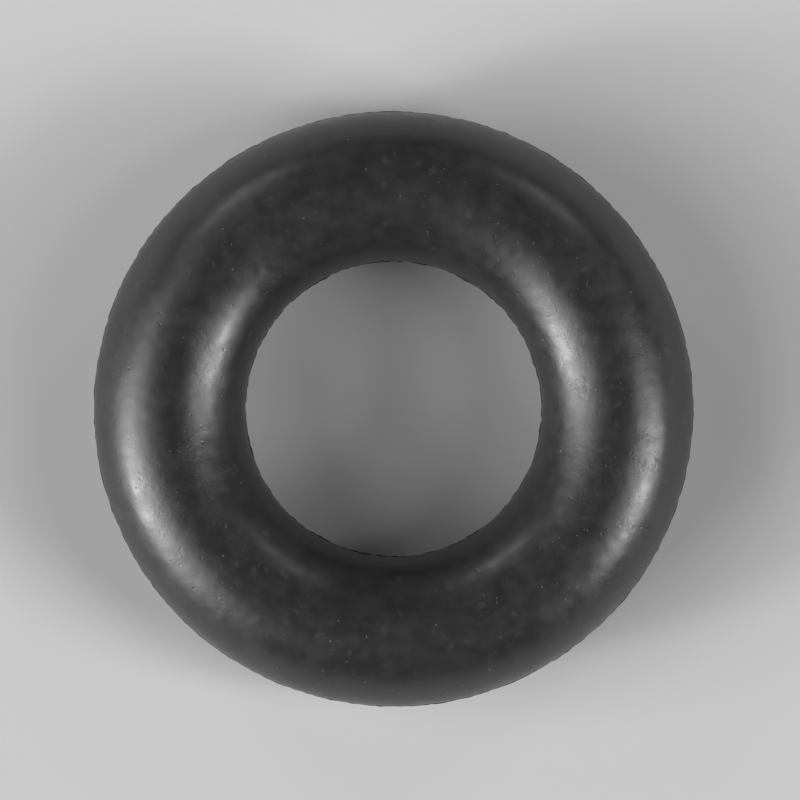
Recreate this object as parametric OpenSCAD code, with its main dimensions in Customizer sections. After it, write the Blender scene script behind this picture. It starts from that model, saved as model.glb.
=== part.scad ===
// O-ring: a seal moulded as one solid rubber ring of round section. A two-plate mould leaves a
// thin line of flash where its plates meet, right round the ring on the outside and on the inside.
// Millimetres. The origin is the centre of the ring, +Z is the ring's axis, and z = 0 is the
// plane where the mould parted.

/* [Ring] */
// Inner diameter of the ring, across the hole, measured on the round section
inner_d = 10.46; // [4:0.01:100]
// Diameter of the round section
section_d = 5.33; // [1:0.01:9]

/* [Mould line] */
// Thickness of the flash along the ring's axis
flash_t = 0.06; // [0.04:0.01:0.2]
// How far the flash stands out of the section on the outside of the ring
outer_flash_w = 0.03; // [0.01:0.01:0.2]
// How far the flash stands out of the section on the inside of the ring
inner_flash_w = 0.02; // [0.01:0.01:0.2]

/* [Finish] */
// Colour of the rubber
rubber_colour = "#2b2b2c"; // [#2b2b2c:Black, #6b3a1e:Brown, #2f5a3a:Green, #a63a24:Red]
// Number of sides drawn on each round, in the preview
preview_sides = 96; // [24:8:192]

/* [Hidden] */
section_r = section_d / 2;
// Radius of the circle that the centre of the section runs along
ring_r = inner_d / 2 + section_r;
$fn = preview_sides;

// The flash, as a thin strip across the section that stands out on both sides of it
module flash_line() {
    translate([-section_r - inner_flash_w, -flash_t / 2])
        square([inner_flash_w + section_d + outer_flash_w, flash_t]);
}

// The section that the ring is turned from, centred on its own middle
module section() {
    circle(d = section_d);
    flash_line();
}

module o_ring() {
    color(rubber_colour)
        rotate_extrude()
            translate([ring_r, 0])
                section();
}

o_ring();
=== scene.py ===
"""O-ring of black moulded rubber, lying flat on a pale floor and looked at from straight above.

Blender 4.5. Everything is in metres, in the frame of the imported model: the ring's axis is +Z and
z = 0 is the plane where its mould parted. Sizes written in millimetres are multiplied by MM.
"""

import math

import bpy
import numpy as np
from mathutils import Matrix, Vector

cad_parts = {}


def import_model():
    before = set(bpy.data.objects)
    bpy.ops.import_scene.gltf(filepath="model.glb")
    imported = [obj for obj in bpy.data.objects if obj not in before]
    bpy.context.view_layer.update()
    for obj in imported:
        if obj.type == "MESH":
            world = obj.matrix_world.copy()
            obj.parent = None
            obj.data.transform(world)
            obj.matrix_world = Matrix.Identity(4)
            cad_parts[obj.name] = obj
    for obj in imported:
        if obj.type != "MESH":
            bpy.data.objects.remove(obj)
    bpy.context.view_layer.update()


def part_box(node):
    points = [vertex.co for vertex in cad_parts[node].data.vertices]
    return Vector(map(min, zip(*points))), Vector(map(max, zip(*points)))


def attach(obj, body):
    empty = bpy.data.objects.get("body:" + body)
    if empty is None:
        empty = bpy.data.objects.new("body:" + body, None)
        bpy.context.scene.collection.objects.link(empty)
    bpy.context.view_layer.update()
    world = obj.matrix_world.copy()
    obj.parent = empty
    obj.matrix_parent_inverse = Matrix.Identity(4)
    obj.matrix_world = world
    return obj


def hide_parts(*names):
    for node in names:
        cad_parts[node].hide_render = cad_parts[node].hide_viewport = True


MM = 0.001

# --- the ring, as the photograph shows it against the solid's even circles -------------------

SOLID_FLASH = 0.03 * MM  # how far the solid's own even flash stands out of its outside
RING_GROWTH = 1.0030  # radius of the section's path, against the solid's
OUT_OF_ROUND = 0.0212 * MM  # half the difference between the path's widest and narrowest radius
OUT_OF_ROUND_AT = math.radians(-4.0)  # azimuth of the widest radius
SECTION_SWELL = 0.0154 * MM  # half of what the section's radius loses from there to a quarter turn on
SECTION_LESS = 0.0050 * MM  # how much smaller the section's radius is on average than the solid's

# --- how finely the rubber is meshed ---------------------------------------------------------

STEPS_ROUND = 960
ROWS_ABOVE = 66  # rows of the section above the mould line, on the side that the photograph shows
ROWS_BELOW = 26
SEED = 31

# --- mould line ------------------------------------------------------------------------------

FLASH_T = 0.06 * MM  # thickness of the flash along the axis
FLASH_W = 0.017 * MM  # how far it usually stands out
# how much that varies, over lengths of flash: the first number is the length
FLASH_RAGGED = ((0.06 * MM, 0.0062 * MM), (0.13 * MM, 0.0048 * MM), (0.30 * MM, 0.0036 * MM),
                (0.80 * MM, 0.0020 * MM))
RAGGED_INSIDE = 1.5  # how many times more the inner line varies than the outer one
FLASH_TORN = 0.010 * MM  # how much further it stands out where it tore off less cleanly
TORN_LENGTH = 1.2 * MM  # length of such a stretch
TORN_TOOTH = 0.15 * MM  # length of one tooth in it
TORN_ABOVE = 1.2  # the noise has to pass this to tear, so it stays rare

# --- unevenness and damage -------------------------------------------------------------------

# spread of the height, number of waves, shortest and longest wave
WAVE_FINE = (0.0016 * MM, 80, 0.45 * MM, 1.5 * MM)
WAVE_BROAD = (0.0040 * MM, 30, 4.0 * MM, 12.0 * MM)
DENTS = 320
DENT_RADIUS = (0.14 * MM, 0.32 * MM)
DENT_DEPTH = (0.002 * MM, 0.006 * MM)
FAINT_SCUFF = 0.4  # how bad the faint scuffs are that lie all over, where 1 is the worst
FAINT_WAVES = (1.0, 60, 1.2 * MM, 5.0 * MM)  # the waves that place them
FAINT_FROM_TO = (1.0, 2.4)  # height of those waves where a faint scuff starts and where it is full
SCUFF_RAGGED = (0.22, 40, 0.25 * MM, 1.0 * MM)  # the waves that fray a patch's edge
SCUFF_FULL, SCUFF_END = 0.3, 1.2  # how far out a patch is still full and where it ends, in its radius

# --- the rubber's shade, gloss and fine relief -----------------------------------------------

CONTRAST = (0.38, 0.62)  # the part of each noise that is stretched from lowest to highest
SHADE = (0.0162, 0.0208)  # darkest and palest of the base colour
CLOUD_SCALE, PATCH_SCALE = 0.40, 1.5  # of its clouds and patches, as features in a millimetre
ROUGHNESS = (0.330, 0.395)
STREAK_SHARE = 0.35  # share of the gloss that runs in streaks round the ring
STREAK_ACROSS, STREAK_ROUND = 3.0, 9.0  # streaks in a millimetre across it, and noise scale round it
SCUFF_DULLS = 0.03  # what a full scuff adds to the roughness
TALC_DULLS = 0.3  # what full talc adds to it
TALC_PALES = 0.32  # what full talc adds to the base colour
INDEX = 1.58  # of refraction
GRAIN_SCALE, GRAIN_HEIGHT = 3.0, 0.0050 * MM
RUBBLE_SCALE, RUBBLE_HEIGHT = 5.0, 0.0205 * MM  # the broken skin inside a scuff
BEND_SCALE, BEND = 12.0, 0.06  # how finely and how many millimetres the small spots are bent
DRIFT_SCALE, DRIFT = 2.0, 0.5  # the same for smudges and lint
# crowding, smallest and largest radius in millimetres; then the height in metres
PITS, PIT_HEIGHT = (2.7, 0.030, 0.095), -0.0058 * MM
POCKS, POCK_HEIGHT = (6.0, 0.020, 0.075), -0.0060 * MM  # inside scuffs only
# crowding, smallest and largest radius in millimetres; then how thick the talc is, where 1 is full
SPECKS, SPECK_TALC = (3.2, 0.004, 0.045), 0.48
GATHERED, GATHERED_TALC = (6.5, 0.008, 0.050), 0.7  # specks caught in scuffs
SMUDGES, SMUDGE_TALC = (1.7, 0.05, 0.26), 0.050
LINT_RADII, LINT_TALC = (0.008, 0.034), 0.16
LINT_STRETCH = (1.0, 0.14, 0.6)  # its crowding along each axis: where that is low, a thread is long
LINT_LIES = ((0.4, 1.7), (1.7, 1.5))  # the ways it lies, in radians, with the crowding of each
TALC_FULL_AT = 1.2  # millimetres above the mould line where talc has its full strength

# --- the photograph's frame ------------------------------------------------------------------

FRAME_PX = 800
RING_CENTRE_PX = (393.6, 409.0)  # centre of the ring in the photograph
PATH_RADIUS_PX = 223.13  # radius there of the section's path
CAMERA_HEIGHT = 500 * MM
SENSOR = 36.0  # camera sensor's width, in Blender's millimetres
# where the photograph shows the skin scuffed: place and radius of each patch, and how badly
SCUFFS_PX = (
    (643, 438, 14, 0.8), (647, 464, 15, 0.95), (637, 500, 10, 0.6), (627, 525, 11, 0.8),  # outer right
    (551, 314, 12, 0.5), (573, 352, 11, 0.6), (581, 386, 13, 0.8), (598, 413, 8, 0.5),  # inner right
    (147, 490, 9, 0.6), (156, 511, 9, 0.7), (166, 532, 9, 0.6), (159, 485, 7, 0.5), (176, 557, 9, 0.6),
    (212, 542, 9, 0.5), (220, 600, 10, 0.6), (308, 678, 11, 0.4),  # lower left
    (162, 492, 44, 0.3), (590, 460, 40, 0.25), (563, 335, 36, 0.35),  # broad and faint
    (440, 202, 9, 0.5), (426, 224, 9, 0.4), (325, 191, 9, 0.4), (480, 594, 15, 0.5),  # top and bottom
)

# --- stage -----------------------------------------------------------------------------------

FLOOR_COLOUR = (0.50, 0.50, 0.505, 1.0)
FLOOR_ROUGHNESS = 0.9
FLOOR_RADIUS = 0.7
FLOOR_SIDES = 96
WALL_HEIGHT = 0.10  # the floor turns up into a low wall at its edge, behind the level views
WALL_ROWS = 9
LAMP_DISTANCE = 5.0
# azimuth and zenith angle in degrees, width and height in degrees as seen from the ring, and the
# light that falls on a sheet facing the lamp, where 1 shows a white sheet as white
LAMPS = {
    "left_wide": (198, 68, 47, 30, 0.80),
    "left_core": (199, 72, 9, 16, 0.45),
    "left_high": (192, 47, 52, 27, 0.435),
    "right_low": (342, 62, 23, 15, 0.68),
    "right_high": (354, 44, 13, 24, 0.22),
    "upper_right": (54, 57, 14, 6, 0.060),
    "upper_left": (126, 63, 13, 6, 0.085),
}
FILL = 0.01  # even light from all round


def main():
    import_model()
    low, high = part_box("o_ring")
    section_r = (high[2] - low[2]) / 2
    path_r = ((high[0] - low[0]) / 2 - SOLID_FLASH - section_r) * RING_GROWTH

    per_px = path_r / PATH_RADIUS_PX
    ring = make_ring(section_r, path_r, per_px, rubber_material())
    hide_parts("o_ring")
    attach(ring, "root")

    make_floor(low[2])
    make_lights()
    make_world()
    make_camera(per_px)


# --- the ring --------------------------------------------------------------------------------


def waves(points, rng, height, count, shortest, longest):
    """Smooth unevenness from plane waves in random directions, with this height as its spread."""
    total = np.zeros(points.shape[:-1])
    for _ in range(count):
        direction = rng.normal(size=3)
        direction /= np.linalg.norm(direction)
        length = math.exp(rng.uniform(math.log(shortest), math.log(longest)))
        total += np.sin(points @ direction * (2 * math.pi / length) + rng.uniform(0, 2 * math.pi))
    return total * height * math.sqrt(2 / count)


def section_rows(section_r):
    """Angles round the section from the outer mould line, with five rows on each line's flash."""
    half = FLASH_T / 2 / section_r
    flash = np.array([-half, -half / 2, 0.0, half / 2, half])
    free = math.pi - 2 * half
    above = half + free * (np.arange(ROWS_ABOVE) + 1) / (ROWS_ABOVE + 1)
    below = math.pi + half + free * (np.arange(ROWS_BELOW) + 1) / (ROWS_BELOW + 1)
    return np.concatenate([flash, above, math.pi + flash, below])


def on_ring(path, radius, around, across):
    """The point at an angle round the ring and one round the section, at a radius from its middle."""
    out = path + radius * np.cos(across)
    return np.stack([out * np.cos(around), out * np.sin(around), radius * np.sin(across)], axis=-1)


def make_ring(section_r, path_r, per_px, material):
    """The rubber ring as one closed mesh, which also says how scuffed each point is."""
    rng = np.random.default_rng(SEED)
    steps = np.arange(STEPS_ROUND) * 2 * math.pi / STEPS_ROUND
    around, across = np.meshgrid(steps, section_rows(section_r), indexing="ij")

    widest = np.cos(2 * (around - OUT_OF_ROUND_AT))
    path = path_r + OUT_OF_ROUND * widest
    radius = section_r - SECTION_LESS + SECTION_SWELL * widest
    smooth = on_ring(path, radius, around, across)
    radius = radius + waves(smooth, rng, *WAVE_FINE) + waves(smooth, rng, *WAVE_BROAD)
    radius = radius - dents(smooth, rng, section_r, path_r)
    radius = radius + flash(around, across, section_r, path_r, rng)
    ring = grid_mesh("ring", on_ring(path, radius, around, across), material)
    scuffed = ring.data.attributes.new("scuff", "FLOAT", "POINT")
    scuffed.data.foreach_set("value", scuffs(smooth, rng, per_px).ravel())
    return ring


def dents(points, rng, section_r, path_r):
    """Depth of the shallow round dents that the mould left, at each point."""
    depth = np.zeros(points.shape[:-1])
    flat = points.reshape(-1, 3)
    for _ in range(DENTS):
        around, across = rng.uniform(0, 2 * math.pi), rng.uniform(0, 2 * math.pi)
        centre = on_ring(path_r, section_r, around, across)
        size, deep = rng.uniform(*DENT_RADIUS), rng.uniform(*DENT_DEPTH)
        near = np.where((np.abs(flat - centre) < size).all(axis=1))[0]
        share = np.linalg.norm(flat[near] - centre, axis=1) / size
        depth.reshape(-1)[near] += deep * np.clip(1 - share**2, 0, 1) ** 2
    return depth


def scuffs(points, rng, per_px):
    """How scuffed each point is, from 0 to 1: in the photograph's places, and faintly all over."""
    total = FAINT_SCUFF * ease(waves(points, rng, *FAINT_WAVES), *FAINT_FROM_TO)
    ragged = 1 + waves(points, rng, *SCUFF_RAGGED)
    for x, y, radius_px, amount in SCUFFS_PX:
        right, down = x - RING_CENTRE_PX[0], y - RING_CENTRE_PX[1]
        away = np.hypot(points[..., 0] - right * per_px, points[..., 1] + down * per_px)
        radius = radius_px * per_px
        share = ease(-away * ragged, -SCUFF_END * radius, -SCUFF_FULL * radius)
        total = np.maximum(total, amount * share)
    return total


def ease(value, low, high):
    """0 below a low value, 1 above a high one and an S-shaped curve between."""
    share = np.clip((value - low) / (high - low), 0, 1)
    return share * share * (3 - 2 * share)


def flash(around, across, section_r, path_r, rng):
    """How far the ragged flash stands out at each point, and 0 away from its two lines."""
    from_line = (across + math.pi / 2) % math.pi - math.pi / 2
    on_line = np.clip(2 - 2 * np.abs(from_line) * section_r / (FLASH_T / 2), 0, 1)
    outer = flash_edge(rng, path_r + section_r, 1.0)
    inner = flash_edge(rng, path_r - section_r, RAGGED_INSIDE)
    return np.where(np.cos(across) > 0, outer[:, None], inner[:, None]) * on_line


def flash_edge(rng, line_r, ragged):
    """Width of one line of flash at each step round the ring, for a line of this radius."""
    step = 2 * math.pi * line_r / STEPS_ROUND
    varied = sum(amount * round_noise(rng, length / step) for length, amount in FLASH_RAGGED)
    width = FLASH_W + ragged * varied
    torn = np.clip(round_noise(rng, TORN_LENGTH / step) - TORN_ABOVE, 0, 1)
    teeth = np.abs(round_noise(rng, TORN_TOOTH / step))
    return np.clip(width, 0, None) + FLASH_TORN * torn * teeth


def round_noise(rng, length):
    """Noise round the ring with a spread of about 1, smoothed over a number of steps."""
    raw = rng.normal(size=STEPS_ROUND)
    reach = math.ceil(3 * length)
    kernel = np.exp(-0.5 * (np.arange(-reach, reach + 1) / length) ** 2)
    smooth = np.convolve(np.concatenate([raw[-reach:], raw, raw[:reach]]), kernel, mode="valid")
    return smooth / smooth.std()


def grid_mesh(name, points, material):
    """A closed surface from a grid of points that joins up both ways."""
    rows, columns = points.shape[:2]
    i, j = np.meshgrid(np.arange(rows), np.arange(columns), indexing="ij")
    next_i, next_j = (i + 1) % rows, (j + 1) % columns
    corners = (i * columns + j, next_i * columns + j, next_i * columns + next_j, i * columns + next_j)
    faces = np.stack(corners, axis=-1).reshape(-1, 4).tolist()
    return add_piece(name, points.reshape(-1, 3), faces, material)


def add_piece(name, points, faces, material, smooth=True):
    """A mesh object from points and faces, in the scene."""
    mesh = bpy.data.meshes.new(name)
    mesh.from_pydata(points.tolist(), [], faces)
    mesh.polygons.foreach_set("use_smooth", [smooth] * len(faces))
    mesh.materials.append(material)
    mesh.update()
    piece = bpy.data.objects.new(name, mesh)
    bpy.context.scene.collection.objects.link(piece)
    return piece


# --- materials -------------------------------------------------------------------------------


def add_node(tree, kind, inputs=(), **settings):
    """A node with its settings, and its inputs given as values or as sockets to link."""
    node = tree.nodes.new(kind)
    for name, value in settings.items():
        setattr(node, name, value)
    for name, value in dict(inputs).items():
        if isinstance(value, bpy.types.NodeSocket):
            tree.links.new(value, node.inputs[name])
        else:
            node.inputs[name].default_value = value
    return node


def math_node(tree, operation, first, second=0.0):
    """The result of one sum on two values or sockets."""
    return add_node(tree, "ShaderNodeMath", {0: first, 1: second}, operation=operation).outputs[0]


def noise(tree, where, scale, detail=2.0):
    """Noise from 0 to 1, with its scale as features in a millimetre."""
    inputs = {"Vector": where, "Scale": scale, "Detail": detail}
    return add_node(tree, "ShaderNodeTexNoise", inputs).outputs["Fac"]


def map_range(tree, value, low, high, to_low, to_high):
    """A value from one range smoothly onto another, and held at its ends."""
    inputs = {"Value": value, "From Min": low, "From Max": high, "To Min": to_low, "To Max": to_high}
    return add_node(tree, "ShaderNodeMapRange", inputs, interpolation_type="SMOOTHSTEP").outputs[0]


def scaled(tree, vector, factor):
    """A vector times a number."""
    inputs = {0: vector, "Scale": factor}
    return add_node(tree, "ShaderNodeVectorMath", inputs, operation="SCALE").outputs[0]


def millimetres(tree):
    """The object's own coordinates, in millimetres."""
    return scaled(tree, add_node(tree, "ShaderNodeTexCoord").outputs["Object"], 1 / MM)


def round_the_ring(tree, where, across_scale, round_scale):
    """Noise drawn out along the ring: fine across it and long round it, with no seam."""
    parts = add_node(tree, "ShaderNodeSeparateXYZ", {0: where}).outputs
    squares = [math_node(tree, "POWER", part, 2.0) for part in (parts[0], parts[1])]
    length = math_node(tree, "SQRT", math_node(tree, "ADD", *squares))
    cosine = math_node(tree, "DIVIDE", parts[0], length)
    sine = math_node(tree, "DIVIDE", parts[1], length)
    across = math_node(tree, "MULTIPLY", length, across_scale)
    height = math_node(tree, "MULTIPLY", parts[2], across_scale)
    east = math_node(tree, "MULTIPLY", cosine, round_scale)
    north = math_node(tree, "MULTIPLY", sine, round_scale)
    place = add_node(tree, "ShaderNodeCombineXYZ", {0: across, 1: height, 2: east}).outputs[0]
    inputs = {"Vector": place, "W": north, "Scale": 1.0, "Detail": 2.0}
    return add_node(tree, "ShaderNodeTexNoise", inputs, noise_dimensions="4D").outputs["Fac"]


def rubber_material():
    """Black rubber with a satin skin: cloudy, grained, pitted, scuffed and flecked with talc."""
    material = bpy.data.materials.new("rubber")
    material.use_nodes = True
    tree = material.node_tree
    shader = tree.nodes["Principled BSDF"]
    where = millimetres(tree)
    bent = shaken(tree, where, BEND_SCALE, BEND)
    scuff = add_node(tree, "ShaderNodeAttribute", attribute_name="scuff").outputs["Fac"]

    cloud = noise(tree, where, CLOUD_SCALE, detail=1.5)
    patch = noise(tree, where, PATCH_SCALE)
    shade = map_range(tree, mix(tree, cloud, patch, 0.5), *CONTRAST, *SHADE)
    fleck = talc(tree, where, bent, scuff)
    shade = math_node(tree, "ADD", shade, math_node(tree, "MULTIPLY", fleck, TALC_PALES))
    colour = add_node(tree, "ShaderNodeCombineColor", {0: shade, 1: shade, 2: shade}).outputs[0]
    tree.links.new(colour, shader.inputs["Base Color"])

    streak = round_the_ring(tree, where, STREAK_ACROSS, STREAK_ROUND)
    roughness = map_range(tree, mix(tree, patch, streak, STREAK_SHARE), *CONTRAST, *ROUGHNESS)
    dull = math_node(tree, "ADD", math_node(tree, "MULTIPLY", fleck, TALC_DULLS),
                     math_node(tree, "MULTIPLY", scuff, SCUFF_DULLS))
    roughness = math_node(tree, "ADD", roughness, dull)
    tree.links.new(roughness, shader.inputs["Roughness"])
    shader.inputs["IOR"].default_value = INDEX

    height = surface_height(tree, where, bent, scuff)
    bump = add_node(tree, "ShaderNodeBump", {"Strength": 1.0, "Distance": 1.0, "Height": height})
    tree.links.new(bump.outputs["Normal"], shader.inputs["Normal"])
    return material


def mix(tree, first, second, share):
    """Two values mixed, with this share of the second."""
    return math_node(tree, "ADD", math_node(tree, "MULTIPLY", first, 1 - share),
                     math_node(tree, "MULTIPLY", second, share))


def shaken(tree, where, scale, amount):
    """The place moved about by up to this many millimetres, so that what is drawn there bends."""
    inputs = {"Vector": where, "Scale": scale, "Detail": 0.0}
    shift = scaled(tree, add_node(tree, "ShaderNodeTexNoise", inputs).outputs["Color"], amount)
    return add_node(tree, "ShaderNodeVectorMath", {0: where, 1: shift}, operation="ADD").outputs[0]


def spots(tree, where, crowding, smallest, largest):
    """1 at the middle of scattered spots and 0 at their edge; most have nearly the smallest radius."""
    cells = add_node(tree, "ShaderNodeTexVoronoi", {"Vector": where, "Scale": crowding}, feature="F1")
    chance = add_node(tree, "ShaderNodeSeparateColor", {0: cells.outputs["Color"]}).outputs[0]
    extra = math_node(tree, "POWER", chance, 2.0)
    extra = math_node(tree, "MULTIPLY", extra, (largest - smallest) * crowding)
    size = math_node(tree, "ADD", extra, smallest * crowding)
    share = math_node(tree, "DIVIDE", cells.outputs["Distance"], size)
    return map_range(tree, share, 0.0, 1.0, 1.0, 0.0)


def lint(tree, where, turn, crowding):
    """Short threads, all lying about one way round."""
    inputs = {"Vector": where, "Rotation": (0.0, 0.0, turn), "Scale": LINT_STRETCH}
    drawn_out = add_node(tree, "ShaderNodeMapping", inputs).outputs[0]
    return spots(tree, drawn_out, crowding, *LINT_RADII)


def talc(tree, where, bent, scuff):
    """Specks, smudges and lint on the upper half, with the most specks where the skin is scuffed."""
    up = add_node(tree, "ShaderNodeSeparateXYZ", {0: where}).outputs[2]
    on_top = map_range(tree, up, 0.0, TALC_FULL_AT, 0.0, 1.0)
    speck = math_node(tree, "MULTIPLY", spots(tree, bent, *SPECKS), SPECK_TALC)
    gathered = math_node(tree, "MULTIPLY", spots(tree, bent, *GATHERED), GATHERED_TALC)
    gathered = math_node(tree, "MULTIPLY", gathered, scuff)
    drifted = shaken(tree, where, DRIFT_SCALE, DRIFT)
    smudge = math_node(tree, "MULTIPLY", spots(tree, drifted, *SMUDGES), SMUDGE_TALC)
    threads = math_node(tree, "MAXIMUM", *(lint(tree, drifted, *lie) for lie in LINT_LIES))
    threads = math_node(tree, "MULTIPLY", threads, LINT_TALC)
    total = math_node(tree, "MAXIMUM", math_node(tree, "MAXIMUM", speck, gathered),
                      math_node(tree, "MAXIMUM", smudge, threads))
    return math_node(tree, "MULTIPLY", total, on_top)


def surface_height(tree, where, bent, scuff):
    """Height of the rubber's fine grain, scuffs and pits, in metres."""
    grain = math_node(tree, "MULTIPLY", noise(tree, where, GRAIN_SCALE, detail=3.0), GRAIN_HEIGHT)
    rubble = math_node(tree, "SUBTRACT", noise(tree, bent, RUBBLE_SCALE), 0.5)
    rubble = math_node(tree, "MULTIPLY", math_node(tree, "MULTIPLY", rubble, scuff), RUBBLE_HEIGHT)
    pits = math_node(tree, "MULTIPLY", spots(tree, bent, *PITS), PIT_HEIGHT)
    pocks = math_node(tree, "MULTIPLY", spots(tree, bent, *POCKS), POCK_HEIGHT)
    pocks = math_node(tree, "MULTIPLY", pocks, scuff)
    total = math_node(tree, "ADD", math_node(tree, "ADD", grain, rubble), pits)
    return math_node(tree, "ADD", total, pocks)


# --- stage, light and camera -----------------------------------------------------------------


def make_floor(height):
    """A plain pale floor under the ring, turned up into a low wall far away."""
    bend = np.linspace(0, math.pi / 2, WALL_ROWS)
    out, up = FLOOR_RADIUS + WALL_HEIGHT * np.sin(bend), height + WALL_HEIGHT * (1 - np.cos(bend))
    around = np.arange(FLOOR_SIDES) * 2 * math.pi / FLOOR_SIDES
    rings = [[(r * math.cos(a), r * math.sin(a), z) for a in around] for r, z in zip(out, up)]
    faces = [tuple(range(FLOOR_SIDES))]
    for row in range(WALL_ROWS - 1):
        low, high = row * FLOOR_SIDES, (row + 1) * FLOOR_SIDES
        for i in range(FLOOR_SIDES):
            after = (i + 1) % FLOOR_SIDES
            faces.append((low + i, low + after, high + after, high + i))
    add_piece("floor", np.array(rings).reshape(-1, 3), faces, floor_material(), smooth=False)


def floor_material():
    """A plain pale matte sheet, with no glare from any side."""
    material = bpy.data.materials.new("floor")
    material.use_nodes = True
    sheet = material.node_tree.nodes["Principled BSDF"]
    sheet.inputs["Base Color"].default_value = FLOOR_COLOUR
    sheet.inputs["Roughness"].default_value = FLOOR_ROUGHNESS
    sheet.inputs["Specular IOR Level"].default_value = 0.0
    return material


def make_lights():
    """Soft oblong lamps, far away, that face the ring and are not seen by the camera."""
    for name, (azimuth, zenith, width, height, strength) in LAMPS.items():
        lamp = bpy.data.lights.new(name, "AREA")
        lamp.shape = "RECTANGLE"
        lamp.size = 2 * LAMP_DISTANCE * math.tan(math.radians(width / 2))
        lamp.size_y = 2 * LAMP_DISTANCE * math.tan(math.radians(height / 2))
        lamp.energy = strength * (math.pi * LAMP_DISTANCE) ** 2
        turn, lean = math.radians(azimuth), math.radians(zenith)
        out = math.sin(lean)
        towards = Vector((out * math.cos(turn), out * math.sin(turn), math.cos(lean)))
        place = bpy.data.objects.new(name, lamp)
        place.location = towards * LAMP_DISTANCE
        place.rotation_euler = towards.to_track_quat("Z", "Y").to_euler()
        place.visible_camera = False
        bpy.context.scene.collection.objects.link(place)


def make_world():
    """A faint even fill from all round."""
    world = bpy.data.worlds.new("world")
    bpy.context.scene.world = world
    world.use_nodes = True
    background = world.node_tree.nodes["Background"]
    background.inputs["Color"].default_value = (1, 1, 1, 1)
    background.inputs["Strength"].default_value = FILL


def make_camera(per_px):
    """Straight above, with the ring as large and as far off centre as in the photograph."""
    data = bpy.data.cameras.new("camera")
    data.sensor_width = SENSOR
    data.lens = SENSOR * CAMERA_HEIGHT / (FRAME_PX * per_px)
    data.clip_start = 5 * MM
    camera = bpy.data.objects.new("camera", data)
    right, down = (place - FRAME_PX / 2 for place in RING_CENTRE_PX)
    camera.location = (-right * per_px, down * per_px, CAMERA_HEIGHT)
    bpy.context.scene.collection.objects.link(camera)
    bpy.context.scene.camera = camera
    bpy.context.scene.view_settings.view_transform = "Standard"


main()
